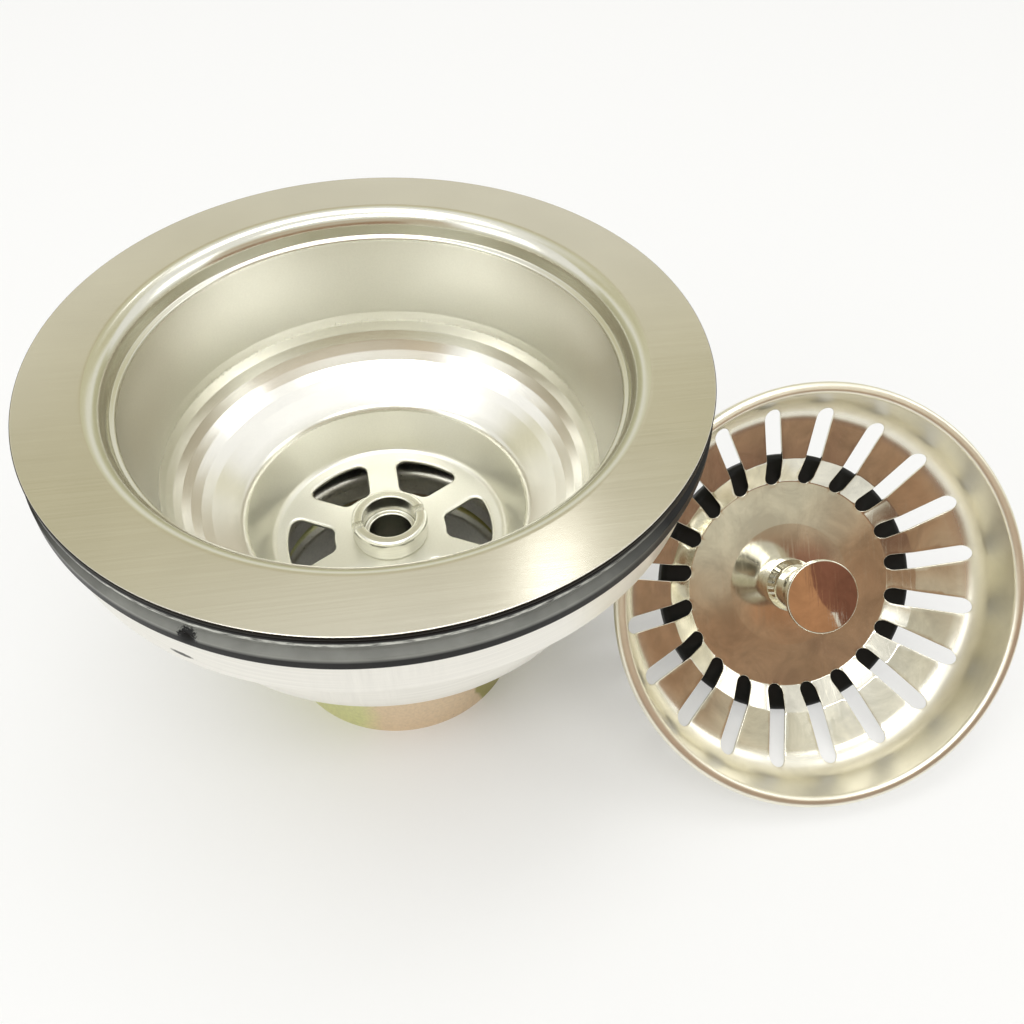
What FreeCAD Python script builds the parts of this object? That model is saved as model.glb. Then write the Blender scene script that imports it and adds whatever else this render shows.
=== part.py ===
# Basket strainer waste for a kitchen sink, in millimetres.
# The waste stands on its tail with its axis on Z; the lifted-out basket lies beside it.
import FreeCAD, Part
import math
import os

V = FreeCAD.Vector
ORIGIN = V(0, 0, 0)
UP = V(0, 0, 1)
FULL_TURN = 360.0
TINY = 1e-6
SLIDE_STEPS = 40

# Flange and cup, one pressed sheet
body_height = 79.0
flange_r = 57.2
flange_width = 13.1
flange_edge = 0.3
cup_sheet = 0.8
mouth_bend = 3.4
mouth_taper = 0.8
ledge_depth = 4.5
ledge_width = 0.85
ledge_fall = 0.3
ledge_root_bend = 0.3
ledge_bend = 0.5
wall_depth = 28.5
wall_taper = 3.4
wall_bend = 16.0
seat_width = 12.2
seat_depth = 35.6
seat_bend = 3.0
well_depth = 44.4
well_taper = 4.0
well_bend = 1.4

# Six-hole plate at the bottom of the cup
spoke_count = 6
spoke_width = 6.3
spoke_turn = 31.5
hole_margin = 2.8
hub_r = 11.2
hole_corner = 1.8
hole_edge_roll = 0.5

# Rubber under the flange
seal_thick = 1.6
seal_inset = 0.1
seal_edge = 0.4
cup_clear = 2.2
gasket_thick = 4.9
gasket_proud = 0.2
gasket_wall = 2.8
gasket_shoulder = 0.9
gasket_round = 0.6
gasket_inner_edge = 0.6

# Folded-rim shell that pulls up against the gasket
shell_sheet = 1.0
shell_rim_inset = 1.7
shell_rim_drop = 8.2
shell_rim_bend = 1.6
shell_gap = 1.85
shell_depth = 48.9
shell_wall_depth = 29.9
shell_wall_taper = 1.6
shell_wall_bend = 9.0
shell_floor_r = 30.4
shell_floor_bend = 3.0

# Tail tube, flared over the shell's floor and beaded below it
tail_r = 24.7
tail_sheet = 1.5
flare_width = 3.3
flare_bend = 2.5
bead_height = 2.3
bead_out = 2.0
bead_bend = 1.8
bead_crown = 1.0
tail_seal_thick = 3.0
tail_seal_clear = 0.1
tail_seal_inset = 0.2

# Hollow bolt, its washer and the bridge it pulls on
bolt_head_r = 7.45
bolt_head_height = 4.5
bolt_head_edge = 0.8
bolt_shank_r = 6.0
bolt_bore_r = 4.1
bolt_counter_r = 5.2
bolt_counter_depth = 3.9
bolt_slot_width = 1.8
bolt_slot_depth = 1.5
bolt_slot_turn = 13.0
bolt_end_past = 1.5
thread_clear = 0.1
plate_hole_clear = 0.2
washer_r = 10.8
washer_thick = 1.5
washer_edge = 0.3
boss_r = 9.0
boss_height = 11.0
boss_top_below_flare = 6.3
boss_edge = 0.6
bridge_width = 12.0
bridge_thick = 3.0
bridge_turn = 91.5

# Basket, measured down from the top of its rim
basket_r = 40.8
basket_sheet = 0.6
basket_lip = 2.0
basket_rim_width = 2.2
basket_rim_bend = 0.95
dish_wall_depth = 11.4
dish_wall_taper = 1.2
dish_wall_bend = 6.0
crease_r = 26.0
crease_depth = 14.95
crease_bend = 1.0
dish_plate_r = 21.3
dish_plate_depth = 18.25
dish_plate_bend = 0.5
slot_count = 20
slot_width = 3.25
slot_inner_r = 21.0
slot_outer_r = 36.3
slot_turn = 5.2

# Knob, stem, stopper and the ring on the stem
knob_top_r = 7.15
knob_top_depth = 1.85
knob_edge = 0.9
knob_foot_r = 5.4
knob_foot_edge = 1.1
knob_waist_r = 4.3
knob_waist_share = 0.42
knob_thread_depth = 8.0
stem_thread_r = 3.0
stem_hole_clear = 0.2
stem_r = 3.6
stem_reach = 37.5
stem_shoulder_r = 6.0
stem_shoulder_thick = 2.0
stem_shoulder_edge = 0.4
stopper_r = 26.85
stopper_thick = 3.6
stopper_top_round = 1.4
stopper_foot_round = 0.8
stopper_washer_r = 12.0
stopper_washer_thick = 1.0
stopper_washer_edge = 0.3
grip_section_r = 0.7
grip_groove_depth = 0.55
grip_groove_half = 0.75
grip_above_tip = 7.0

# Where the basket lies
basket_gap = 0.9
basket_y = -29.2
basket_lean_towards = 270.0

# Heights and radii that follow from the sizes above
mouth_r = flange_r - flange_width
ledge_root_r = mouth_r - mouth_taper
ledge_r = ledge_root_r - ledge_width
wall_foot_r = ledge_r - wall_taper
seat_r = wall_foot_r - seat_width
plate_r = seat_r - well_taper
plate_z = body_height - well_depth
flange_under = body_height - cup_sheet
cup_hole_r = bolt_shank_r + plate_hole_clear
shell_rim_r = flange_r - shell_rim_inset
shell_r = ledge_r + cup_sheet + shell_gap
seal_inner_r = mouth_r + cup_sheet + cup_clear
seal_outer_r = flange_r - seal_inset
gasket_top = flange_under - seal_thick
gasket_under = gasket_top - gasket_thick
shell_floor_z = gasket_under - shell_depth
flare_under = shell_floor_z + tail_seal_thick
flare_top = flare_under + tail_sheet
tail_bore_r = tail_r - tail_sheet
bead_lean = math.atan2(bead_out, bead_height)
bead_top_z = shell_floor_z - shell_sheet - bead_bend * math.tan(bead_lean / 2.0)
boss_top = flare_top - boss_top_below_flare
boss_foot = boss_top - boss_height
dish_under = -dish_plate_depth - basket_sheet
stopper_foot = dish_under - stopper_thick
shoulder_top = stopper_foot - stopper_washer_thick


def unit(a, b):
    """Direction from one (r, z) point to the next."""
    length = math.hypot(b[0] - a[0], b[1] - a[1])
    return ((b[0] - a[0]) / length, (b[1] - a[1]) / length)


def straight(a, b):
    """A line between two (r, z) points, or nothing if they are the same point."""
    if math.hypot(b[0] - a[0], b[1] - a[1]) < TINY:
        return []
    return [Part.makeLine(V(a[0], 0, a[1]), V(b[0], 0, b[1]))]


def bend(last, here, after):
    """Start, middle, end and centre of the arc that rounds the corner at here."""
    d1 = unit(last, here)
    d2 = unit(here, after)
    turn = math.acos(max(-1.0, min(1.0, d1[0] * d2[0] + d1[1] * d2[1])))
    side = math.copysign(1.0, d1[0] * d2[1] - d1[1] * d2[0])
    reach = here[2] * math.tan(turn / 2.0)
    start = (here[0] - d1[0] * reach, here[1] - d1[1] * reach)
    end = (here[0] + d2[0] * reach, here[1] + d2[1] * reach)
    centre = (start[0] - side * d1[1] * here[2], start[1] + side * d1[0] * here[2])
    out = unit(centre, here)
    mid = (centre[0] + out[0] * here[2], centre[1] + out[1] * here[2])
    return start, mid, end, centre


def bent_edges(points):
    """Lines joined by arcs through (r, z, bend radius) points, in the XZ plane."""
    edges = []
    last = points[0]
    for here, after in zip(points[1:-1], points[2:]):
        if here[2] < TINY:
            edges += straight(last, here)
            last = here
            continue
        start, mid, end, centre = bend(last, here, after)
        edges += straight(last, start)
        arc = Part.Arc(V(start[0], 0, start[1]), V(mid[0], 0, mid[1]), V(end[0], 0, end[1]))
        edges.append(arc.toShape())
        last = end
    return edges + straight(last, points[-1])


def left_offset(points, distance):
    """The same path moved to its left, with each bend grown or shrunk to suit."""
    normals = []
    for a, b in zip(points[:-1], points[1:]):
        d = unit(a, b)
        normals.append((-d[1], d[0]))
    moved = [(points[0][0] + distance * normals[0][0], points[0][1] + distance * normals[0][1])]
    for here, n1, n2 in zip(points[1:-1], normals[:-1], normals[1:]):
        share = distance / (1.0 + n1[0] * n2[0] + n1[1] * n2[1])
        left_turn = n1[0] * n2[1] - n1[1] * n2[0] > 0
        bend = here[2] - distance if left_turn else here[2] + distance
        moved.append((here[0] + share * (n1[0] + n2[0]), here[1] + share * (n1[1] + n2[1]), bend))
    n = normals[-1]
    moved.append((points[-1][0] + distance * n[0], points[-1][1] + distance * n[1]))
    return moved


def spun(edges):
    """Solid of revolution about Z from a closed chain of edges in the XZ plane."""
    face = Part.Face(Part.Wire(Part.__sortEdges__(edges)))
    return face.revolve(ORIGIN, UP, FULL_TURN)


def spun_sheet(points, thickness):
    """Sheet of even thickness spun about Z; the path is its upper or inner skin."""
    back = left_offset(points, thickness)
    ends = [Part.makeLine(V(points[0][0], 0, points[0][1]), V(back[0][0], 0, back[0][1])),
            Part.makeLine(V(points[-1][0], 0, points[-1][1]), V(back[-1][0], 0, back[-1][1]))]
    return spun(bent_edges(points) + bent_edges(back) + ends)


def spun_block(points):
    """Solid spun from a closed outline of (r, z, corner radius) points; it starts at a sharp corner."""
    edges = bent_edges(points + [points[0]])
    return spun(edges)


def disc(r, z, height):
    return Part.makeCylinder(r, height, V(0, 0, z))


def around(shape, angle):
    turned = shape.copy()
    turned.rotate(ORIGIN, UP, angle)
    return turned


def bar_along_x(start, end, width, z, height):
    """Upright block along X with rounded ends, for cutting slots."""
    half = width / 2.0
    box = Part.makeBox(end - start - width, width, height, V(start + half, -half, z))
    near = Part.makeCylinder(half, height, V(start + half, 0, z))
    far = Part.makeCylinder(half, height, V(end - half, 0, z))
    return box.fuse([near, far]).removeSplitter()


def spider_hole():
    """One hole of the plate: a ring sector between two parallel-sided spokes, its corners rounded."""
    low = plate_z - cup_sheet * 2.0
    height = cup_sheet * 3.0
    outer_r = plate_r - hole_margin
    ring = disc(outer_r, low, height).cut(disc(hub_r, low, height))
    step = FULL_TURN / spoke_count
    reach = outer_r * 2.0
    spoke = Part.makeBox(reach, reach, height, V(0, spoke_width / 2.0, low))
    other = Part.makeBox(reach, reach, height, V(0, -spoke_width / 2.0 - reach, low))
    other = around(other, step)
    sector = ring.common(spoke).common(other)
    uprights = [e for e in sector.Edges if abs(e.Vertexes[0].Z - e.Vertexes[-1].Z) > cup_sheet]
    return sector.makeFillet(hole_corner, uprights)


def strainer_cup():
    path = [(flange_r, body_height),
            (mouth_r, body_height, mouth_bend),
            (ledge_root_r, body_height - ledge_depth, ledge_root_bend),
            (ledge_r, body_height - ledge_depth - ledge_fall, ledge_bend),
            (wall_foot_r, body_height - wall_depth, wall_bend),
            (seat_r, body_height - seat_depth, seat_bend),
            (plate_r, plate_z, well_bend),
            (cup_hole_r, plate_z)]
    cup = spun_sheet(path, cup_sheet)
    hole = around(spider_hole(), spoke_turn)
    step = FULL_TURN / spoke_count
    cup = cup.cut([around(hole, step * i) for i in range(spoke_count)])
    rims = [e for e in cup.Edges if on_hole_rim(e)]
    cup = cup.makeFillet(hole_edge_roll, rims)
    edges = [e for e in cup.Edges if on_flange_edge(e)]
    return cup.makeFillet(flange_edge, edges)


def on_flange_edge(edge):
    """True for the two round edges of the flange's rim."""
    spread = edge.BoundBox
    level = spread.ZLength < TINY
    return level and abs(spread.XMax - flange_r) < flange_edge and spread.ZMin > flange_under - TINY


def on_hole_rim(edge):
    """True for the edges of the spider's holes on the plate's upper skin."""
    flat = all(abs(v.Z - plate_z) < cup_sheet / 10.0 for v in edge.Vertexes)
    radii = [math.hypot(v.X, v.Y) for v in edge.Vertexes]
    open_edge = len(edge.Vertexes) > 1
    return flat and open_edge and min(radii) > cup_hole_r * 1.2 and max(radii) < plate_r - hole_margin / 2.0


def flange_seal():
    return spun_block([(seal_inner_r, gasket_top),
                       (seal_outer_r, gasket_top, seal_edge),
                       (seal_outer_r, flange_under, seal_edge),
                       (seal_inner_r, flange_under, seal_edge)])


def sink_gasket():
    outer = flange_r + gasket_proud
    return spun_block([(seal_inner_r, gasket_under),
                       (outer, gasket_under, gasket_round),
                       (outer, gasket_under + gasket_wall, gasket_round),
                       (outer - gasket_shoulder, gasket_under + gasket_wall + gasket_shoulder, gasket_round),
                       (outer - gasket_shoulder, gasket_top, gasket_inner_edge),
                       (seal_inner_r, gasket_top, gasket_inner_edge)])


def lock_shell():
    path = [(shell_rim_r, gasket_under - shell_rim_drop),
            (shell_rim_r, gasket_under, shell_rim_bend),
            (shell_r, gasket_under, shell_rim_bend),
            (shell_r - shell_wall_taper, gasket_under - shell_wall_depth, shell_wall_bend),
            (shell_floor_r, shell_floor_z, shell_floor_bend),
            (tail_r, shell_floor_z)]
    return spun_sheet(path, shell_sheet)


def tail_spigot():
    path = [(tail_r + flare_width, flare_top),
            (tail_bore_r, flare_top, flare_bend),
            (tail_bore_r, bead_top_z, bead_bend),
            (tail_bore_r + bead_out, bead_top_z - bead_height, bead_crown),
            (tail_bore_r, bead_top_z - bead_height * 2.0, bead_bend),
            (tail_bore_r, 0.0)]
    return spun_sheet(path, tail_sheet)


def tail_seal():
    inner = tail_r + flare_bend - tail_sheet + tail_seal_clear
    outer = tail_r + flare_width - tail_seal_inset
    return disc(outer, shell_floor_z, tail_seal_thick).cut(disc(inner, shell_floor_z, tail_seal_thick))


def bolt_bridge():
    bar_z = boss_foot + (boss_height - bridge_thick) / 2.0
    reach = tail_bore_r * 2.0
    bar = Part.makeBox(reach * 2.0, bridge_width, bridge_thick, V(-reach, -bridge_width / 2.0, bar_z))
    bar = bar.common(disc(tail_bore_r, bar_z, bridge_thick))
    boss = disc(boss_r, boss_foot, boss_height)
    rims = [e for e in boss.Edges if len(e.Vertexes) == 1]
    boss = boss.makeChamfer(boss_edge, rims)
    bridge = bar.fuse(boss).removeSplitter()
    bridge = bridge.cut(disc(bolt_shank_r + thread_clear, boss_foot, boss_height))
    return around(bridge, bridge_turn)


def centre_bolt():
    top = plate_z + bolt_head_height
    foot = boss_foot - bolt_end_past
    floor_z = top - bolt_counter_depth
    bolt = spun_block([(bolt_bore_r, foot),
                       (bolt_shank_r, foot, boss_edge),
                       (bolt_shank_r, plate_z, 0.0),
                       (bolt_head_r, plate_z, washer_edge),
                       (bolt_head_r, top, bolt_head_edge),
                       (bolt_counter_r, top, washer_edge),
                       (bolt_counter_r, floor_z, washer_edge),
                       (bolt_bore_r, floor_z, washer_edge)])
    reach = bolt_head_r * 2.0
    slot = Part.makeBox(reach, bolt_slot_width, bolt_head_height,
                        V(-reach / 2.0, -bolt_slot_width / 2.0, top - bolt_slot_depth))
    return bolt.cut(around(slot, bolt_slot_turn))


def bolt_washer():
    top = plate_z - cup_sheet
    inner = bolt_shank_r + thread_clear
    return spun_block([(inner, top - washer_thick),
                       (washer_r, top - washer_thick, washer_edge),
                       (washer_r, top, washer_edge),
                       (inner, top, 0.0)])


def dish_path():
    return [(basket_r, -basket_lip),
            (basket_r, 0.0, basket_rim_bend),
            (basket_r - basket_rim_width, 0.0, basket_rim_bend),
            (basket_r - basket_rim_width - dish_wall_taper, -dish_wall_depth, dish_wall_bend),
            (crease_r, -crease_depth, crease_bend),
            (dish_plate_r, -dish_plate_depth, dish_plate_bend),
            (stem_thread_r + stem_hole_clear, -dish_plate_depth)]


def basket_dish():
    path = dish_path()
    dish = spun_sheet(path, basket_sheet)
    low = dish_under - basket_sheet
    slot = bar_along_x(slot_inner_r, slot_outer_r, slot_width, low, dish_plate_depth)
    step = FULL_TURN / slot_count
    return dish.cut([around(slot, slot_turn + step * i) for i in range(slot_count)])


def basket_knob():
    foot = -dish_plate_depth
    top = -knob_top_depth
    waist_z = foot + (top - foot) * knob_waist_share
    tall = top - foot
    edges = [Part.makeLine(V(stem_thread_r, 0, foot), V(knob_foot_r, 0, foot)),
             Part.makeLine(V(knob_foot_r, 0, foot), V(knob_foot_r, 0, foot + knob_foot_edge))]
    neck = Part.BSplineCurve()
    neck.interpolate([V(knob_foot_r, 0, foot + knob_foot_edge),
                      V(knob_waist_r, 0, waist_z),
                      V(knob_top_r, 0, top - knob_edge)])
    edges.append(neck.toShape())
    edges.append(Part.makeLine(V(knob_top_r, 0, top - knob_edge), V(knob_top_r, 0, top)))
    edges.append(Part.makeLine(V(knob_top_r, 0, top), V(0, 0, top)))
    thread_top = foot + min(knob_thread_depth, tall / 2.0)
    edges.append(Part.makeLine(V(0, 0, top), V(0, 0, thread_top)))
    edges.append(Part.makeLine(V(0, 0, thread_top), V(stem_thread_r, 0, thread_top)))
    edges.append(Part.makeLine(V(stem_thread_r, 0, thread_top), V(stem_thread_r, 0, foot)))
    return spun(edges)


def stopper_disc():
    return spun_block([(stem_thread_r, stopper_foot),
                       (stopper_r, stopper_foot, stopper_foot_round),
                       (stopper_r, dish_under, stopper_top_round),
                       (stem_thread_r, dish_under, 0.0)])


def stopper_washer():
    return spun_block([(stem_thread_r, shoulder_top),
                       (stopper_washer_r, shoulder_top, stopper_washer_edge),
                       (stopper_washer_r, stopper_foot, stopper_washer_edge),
                       (stem_thread_r, stopper_foot, 0.0)])


def basket_post():
    tall = dish_plate_depth - knob_top_depth
    thread_top = -dish_plate_depth + min(knob_thread_depth, tall / 2.0)
    thread = disc(stem_thread_r, shoulder_top, thread_top - shoulder_top)
    shoulder = spun_block([(0.0, shoulder_top - stem_shoulder_thick),
                           (stem_shoulder_r, shoulder_top - stem_shoulder_thick, stem_shoulder_edge),
                           (stem_shoulder_r, shoulder_top, stem_shoulder_edge),
                           (0.0, shoulder_top, 0.0)])
    stem = disc(stem_r, -stem_reach, stem_reach + shoulder_top - stem_shoulder_thick)
    tip = Part.makeSphere(stem_r, V(0, 0, -stem_reach))
    post = thread.fuse([shoulder, stem, tip]).removeSplitter()
    groove_z = -stem_reach - stem_r + grip_above_tip
    groove = disc(stem_r * 2.0, groove_z - grip_groove_half, grip_groove_half * 2.0)
    groove = groove.cut(disc(stem_r - grip_groove_depth, groove_z - grip_groove_half, grip_groove_half * 2.0))
    return post.cut(groove)


def post_ring():
    groove_z = -stem_reach - stem_r + grip_above_tip
    centre_r = stem_r - grip_groove_depth + grip_section_r
    return Part.makeTorus(centre_r, grip_section_r, V(0, 0, groove_z))


def lying(shape, x):
    """A piece of the basket, tipped so that the dish's knee and the stopper's edge both touch the floor."""
    path = dish_path()
    knee = bend(path[2], path[3], path[4])[3]
    knee_round = dish_wall_bend + basket_sheet
    across = knee[0] - (stopper_r - stopper_foot_round)
    along = knee[1] - (stopper_foot + stopper_foot_round)
    lean = math.atan2(along, across) + math.asin((stopper_foot_round - knee_round) / math.hypot(across, along))
    lift = knee[0] * math.sin(lean) - knee[1] * math.cos(lean) + knee_round
    moved = shape.copy()
    moved.rotate(ORIGIN, V(0, 1, 0), math.degrees(lean))
    moved.rotate(ORIGIN, UP, basket_lean_towards)
    moved.translate(V(x, basket_y, lift))
    return moved


def x_beside(neighbour):
    """Where along X the leaning rim comes to lie the named gap from its neighbour."""
    lip = Part.makeCircle(basket_r, V(0, 0, -basket_lip))
    x = shell_rim_r + basket_r * 2.0
    for step in range(SLIDE_STEPS):
        x -= lying(lip, x).distToShape(neighbour)[0] - basket_gap
    return x


WASTE = {
    "strainer_cup": strainer_cup(),
    "flange_seal": flange_seal(),
    "sink_gasket": sink_gasket(),
    "lock_shell": lock_shell(),
    "tail_spigot": tail_spigot(),
    "tail_seal": tail_seal(),
    "bolt_bridge": bolt_bridge(),
    "centre_bolt": centre_bolt(),
    "bolt_washer": bolt_washer(),
}
BASKET = {
    "basket_dish": basket_dish(),
    "basket_knob": basket_knob(),
    "basket_post": basket_post(),
    "stopper_disc": stopper_disc(),
    "stopper_washer": stopper_washer(),
    "post_ring": post_ring(),
}
basket_x = x_beside(Part.makeCompound([WASTE["lock_shell"], WASTE["sink_gasket"]]))
PIECES = dict(WASTE)
for name, shape in BASKET.items():
    PIECES[name] = lying(shape, basket_x)

os.makedirs("parts", exist_ok=True)
for name, shape in PIECES.items():
    shape.exportStep("parts/" + name + ".step")
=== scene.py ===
import math
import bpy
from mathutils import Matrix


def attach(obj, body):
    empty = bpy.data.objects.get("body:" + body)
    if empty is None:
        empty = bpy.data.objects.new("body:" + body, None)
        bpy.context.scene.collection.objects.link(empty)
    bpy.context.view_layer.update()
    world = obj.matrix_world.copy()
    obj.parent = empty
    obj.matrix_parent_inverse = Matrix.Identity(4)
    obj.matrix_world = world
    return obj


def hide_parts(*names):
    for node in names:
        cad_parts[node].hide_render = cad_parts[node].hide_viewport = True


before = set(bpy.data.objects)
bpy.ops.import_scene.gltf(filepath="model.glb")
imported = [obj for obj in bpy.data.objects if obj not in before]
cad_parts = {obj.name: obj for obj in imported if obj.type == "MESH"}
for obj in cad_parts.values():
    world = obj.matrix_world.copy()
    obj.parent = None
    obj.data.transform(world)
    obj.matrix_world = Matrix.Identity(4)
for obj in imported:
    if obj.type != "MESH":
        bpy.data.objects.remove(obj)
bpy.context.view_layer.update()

from types import SimpleNamespace

import bmesh
import bpy
from mathutils import Matrix, Vector
from mathutils.geometry import delaunay_2d_cdt

bl_info = {
    "name": "Basket strainer waste",
    "version": (1, 0, 0),
    "blender": (4, 5, 0),
    "location": "View3D > Sidebar > Waste",
    "description": "Builds a kitchen basket strainer waste with its basket, its finishes and its stage",
    "category": "Add Mesh",
}

MM = 0.001
# Below this a length in millimetres counts as nothing.
TINY = 1e-6
# Millimetres by which the shell's rim lies inside the flange's edge, and the gasket reaches past it.
SHELL_INSET = 1.7
GASKET_REACH = 0.2


def linear(hex_code):
    """Linear RGB of an sRGB hex value, with full alpha."""
    parts = [int(hex_code[i:i + 2], 16) / 255.0 for i in (1, 3, 5)]
    return tuple(c / 12.92 if c <= 0.04045 else ((c + 0.055) / 1.055) ** 2.4 for c in parts) + (1.0,)


def length(title, about, millimetres):
    return bpy.props.FloatProperty(
        name=title, description=about, default=millimetres * MM, unit="LENGTH", precision=5)


def colour(title, about, hex_code):
    return bpy.props.FloatVectorProperty(
        name=title, description=about, default=linear(hex_code)[:3], subtype="COLOR", size=3,
        min=0.0, max=1.0)


class WasteSizes(bpy.types.PropertyGroup):
    """Sizes of the waste that stands on its tail."""

    height: length("Height", "Floor to the top of the flange", 79.0)
    flange_r: length("Flange radius", "Outer radius of the flange", 57.2)
    flange_width: length("Flange width", "Flat width of the flange from its edge to the mouth", 13.1)
    cup_sheet: length("Cup sheet", "Thickness of the pressed steel", 0.8)
    wall_depth: length("Wall depth", "Top of the flange to the foot of the cup's wall", 28.5)
    seat_depth: length("Seat depth", "Top of the flange to the inner edge of the sloping seat", 35.6)
    well_depth: length("Well depth", "Top of the flange to the six-hole plate", 44.4)
    spoke_width: length("Spoke width", "Width of a spoke of the six-hole plate", 6.3)
    hub_r: length("Hub radius", "Radius of the solid middle of the six-hole plate", 11.2)
    seal_thick: length("Seal thickness", "Flat washer under the flange", 1.6)
    gasket_thick: length("Gasket thickness", "Thick rubber below the sink's sheet", 4.9)
    shell_sheet: length("Shell sheet", "Thickness of the lock shell", 1.0)
    shell_depth: length("Shell depth", "Top of the shell's rim to its floor", 48.9)
    tail_r: length("Tail radius", "Outside radius of the outlet tube", 24.7)
    tail_sheet: length("Tail sheet", "Thickness of the outlet tube", 1.5)


class BasketSizes(bpy.types.PropertyGroup):
    """Sizes of the lift-out basket, measured down from the top of its rim."""

    rim_r: length("Rim radius", "Outer radius of the basket", 40.8)
    sheet: length("Sheet", "Thickness of the basket's steel", 0.6)
    wall_depth: length("Wall depth", "Rim to the knee below the wall", 11.4)
    crease_depth: length("Crease depth", "Rim to the crease between dish and cone", 14.95)
    plate_depth: length("Plate depth", "Rim to the flat plate under the knob", 18.25)
    plate_r: length("Plate radius", "Radius of the flat plate", 21.3)
    slot_width: length("Slot width", "Width of a drain slot", 3.25)
    slot_inner_r: length("Slot start", "Radius at which the slots begin", 21.0)
    slot_outer_r: length("Slot end", "Radius at which the slots end", 36.3)
    slot_count: bpy.props.IntProperty(
        name="Slots", description="Drain slots round the dish", default=20, min=3)
    knob_r: length("Knob radius", "Radius of the knob's flat top", 7.15)
    stopper_r: length("Stopper radius", "Radius of the rubber stopper", 26.85)


class WasteColours(bpy.types.PropertyGroup):
    """Colours of the finishes."""

    flange: colour("Brushed steel", "Flange", "#D6D2C6")
    cup: colour("Drawn steel", "Inside of the cup", "#DEDDD2")
    # The seat's colour is paler than the cup's: a painted highlight.
    seat: colour("Cup seat", "Ring that the basket sits on", "#F6F5EF")
    polished: colour("Polished steel", "Basket dish and knob", "#E2DFD1")
    shell: colour("Satin shell", "Lock shell", "#F3F1EA")
    zinc_yellow: colour("Zinc yellow", "Yellow-green of the passivated tail", "#E0E1AC")
    zinc_pink: colour("Zinc pink", "Pinkish drift of the passivated tail", "#EAD6BA")
    zinc_olive: colour("Zinc olive", "Darker drift of the passivated tail", "#AFA96C")
    zinc_bore: colour("Zinc bore", "Grey inside and flare of the tail", "#E8E6DC")
    rubber: colour("Rubber", "Seal, gasket and stopper", "#0A0A09")
    # Pale grey on the gasket's upper face round the front: dust bloom and a painted sheen.
    bloom: colour("Rubber bloom", "Pale bloom on the gasket's outer face", "#8B8C86")
    # Pale strokes on the seal's edge round the front: scuffs and a painted highlight.
    scuffed: colour("Scuffed rubber", "Pale scuffs on the flat seal's edge", "#D2D3CB")
    # Dark grey on the flange's outer edge: painted shade.
    sheared: colour("Sheared edge", "Cut edge of the flange", "#2A2824")
    plain_zinc: colour("Plain zinc", "Bridge and washers", "#A9A69B")


def sizes(group):
    """The sizes of a property group by name, lengths in millimetres."""
    held = getattr(bpy.context.scene, group)
    values = {name: getattr(held, name) for name in type(held).__annotations__}
    return SimpleNamespace(**{
        name: value / MM if isinstance(value, float) else value for name, value in values.items()})


def tint(name):
    """A finish's colour with full alpha."""
    return tuple(getattr(bpy.context.scene.waste_colours, name)) + (1.0,)


# Profiles: corners are (radius, height, bend radius) in millimetres, spun about Z.


def bent(corners, fine=7.5):
    """Points along straight runs joined by arcs."""
    line = [Vector(corners[0][:2])]
    for before, here, after in zip(corners, corners[1:], corners[2:]):
        corner = Vector(here[:2])
        d1 = (corner - Vector(before[:2])).normalized()
        d2 = (Vector(after[:2]) - corner).normalized()
        turn = math.atan2(d1.x * d2.y - d1.y * d2.x, d1.dot(d2))
        radius = here[2] if len(here) > 2 else 0.0
        if radius <= 0.0:
            line.append(corner)
            continue
        start = corner - d1 * radius * math.tan(abs(turn) / 2.0)
        centre = start + Vector((-d1.y, d1.x)) * math.copysign(radius, turn)
        arm = start - centre
        steps = max(3, math.ceil(abs(math.degrees(turn)) / fine))
        for i in range(steps + 1):
            a = turn * i / steps
            line.append(centre + Matrix.Rotation(a, 2) @ arm)
    line.append(Vector(corners[-1][:2]))
    return line


def eased(line, longest=1.6):
    """The same line with its long runs divided, and a point near each end of a run to keep it flat."""
    inset = 0.1
    points = [line[0]]
    for a, b in zip(line, line[1:]):
        run = (b - a).length
        if run < TINY:
            continue
        if run > longest:
            d = (b - a) / run
            points.append(a + d * inset)
            parts = math.ceil((run - 2.0 * inset) / longest)
            points += [a + d * (inset + (run - 2.0 * inset) * i / parts) for i in range(1, parts)]
            points.append(b - d * inset)
        points.append(b)
    return points


def left_normals(line):
    """Unit normals on the left of travel, one a point."""
    normals = []
    for i in range(len(line)):
        d = line[min(i + 1, len(line) - 1)] - line[max(i - 1, 0)]
        normals.append(Vector((-d.y, d.x)).normalized())
    return normals


def arc(centre, radius, start, end, steps):
    """Points along an arc with both its ends."""
    turns = [start + (end - start) * i / steps for i in range(steps + 1)]
    return [centre + Vector((math.cos(a), math.sin(a))) * radius for a in turns]


def ring_faces(rows, count):
    """Quads between rows of points that each go once round."""
    faces = []
    for k in range(len(rows) - 1):
        for i in range(count):
            j = (i + 1) % count
            faces.append((rows[k] + i, rows[k] + j, rows[k + 1] + j, rows[k + 1] + i))
    return faces


def spin(outline, count, closed=True):
    """Points and faces of an outline spun about Z; a point on the axis becomes one point when welded."""
    verts, rows = [], []
    for p in outline:
        rows.append(len(verts))
        for i in range(count):
            a = math.tau * i / count
            verts.append((p[0] * math.cos(a), p[0] * math.sin(a), p[1]))
    if closed:
        rows.append(rows[0])
    return verts, ring_faces(rows, count)


def spin_sheet(corners, thickness, count):
    """Points and faces of a bent sheet spun about Z; its back lies on the left of travel."""
    front = eased(bent(corners))
    back = [p + n * thickness for p, n in zip(front, left_normals(front))]
    return spin(front + back[::-1], count)


def inside(loop, x, y):
    """True if the point is inside the closed loop."""
    found = False
    for (x1, y1), (x2, y2) in zip(loop, loop[1:] + loop[:1]):
        if (y1 > y) != (y2 > y) and x < (x2 - x1) * (y - y1) / (y2 - y1) + x1:
            found = not found
    return found


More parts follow.
